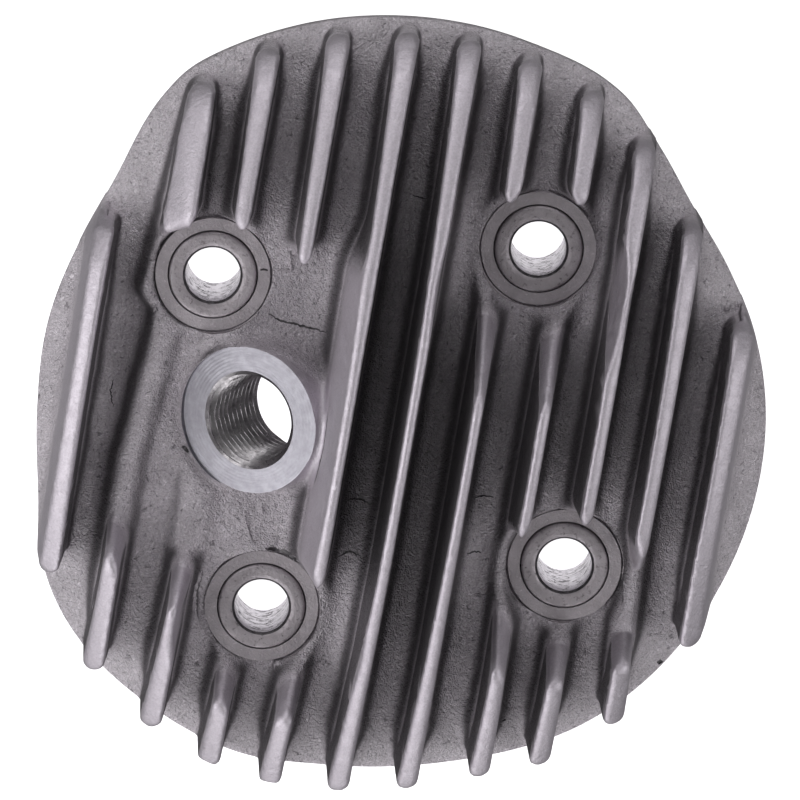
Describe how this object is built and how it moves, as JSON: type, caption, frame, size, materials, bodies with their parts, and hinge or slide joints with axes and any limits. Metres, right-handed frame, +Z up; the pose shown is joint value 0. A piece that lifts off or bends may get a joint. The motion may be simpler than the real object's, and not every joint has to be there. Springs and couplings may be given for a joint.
{
  "type": "cylinder head",
  "caption": "Finned die-cast cylinder head for an air-cooled two-stroke engine, with sleeved stud holes and an angled spark plug hole.",
  "frame": {"origin": "centre of the bounding box at its bottom, which is the gasket face; the cylinder axis stands at X -1.73 mm, Y -1.87 mm", "axes": "+Z up along the studs, from the gasket face to the fins; +Y along the head's length, close to the way the fins run; the spark plug hole leans towards -X"},
  "size_m": [0.107, 0.113, 0.0354],
  "materials": {
    "cast_aluminium": "as-cast, fine pebbled skin, with machined seat and gasket face",
    "sleeve_steel": "dull, slightly rough"
  },
  "bodies": {
    "root": {"head_casting": "cast_aluminium", "stud_sleeve_rear_right": "sleeve_steel", "stud_sleeve_rear_left": "sleeve_steel", "stud_sleeve_front_left": "sleeve_steel", "stud_sleeve_front_right": "sleeve_steel"}
  },
  "joints": []
}
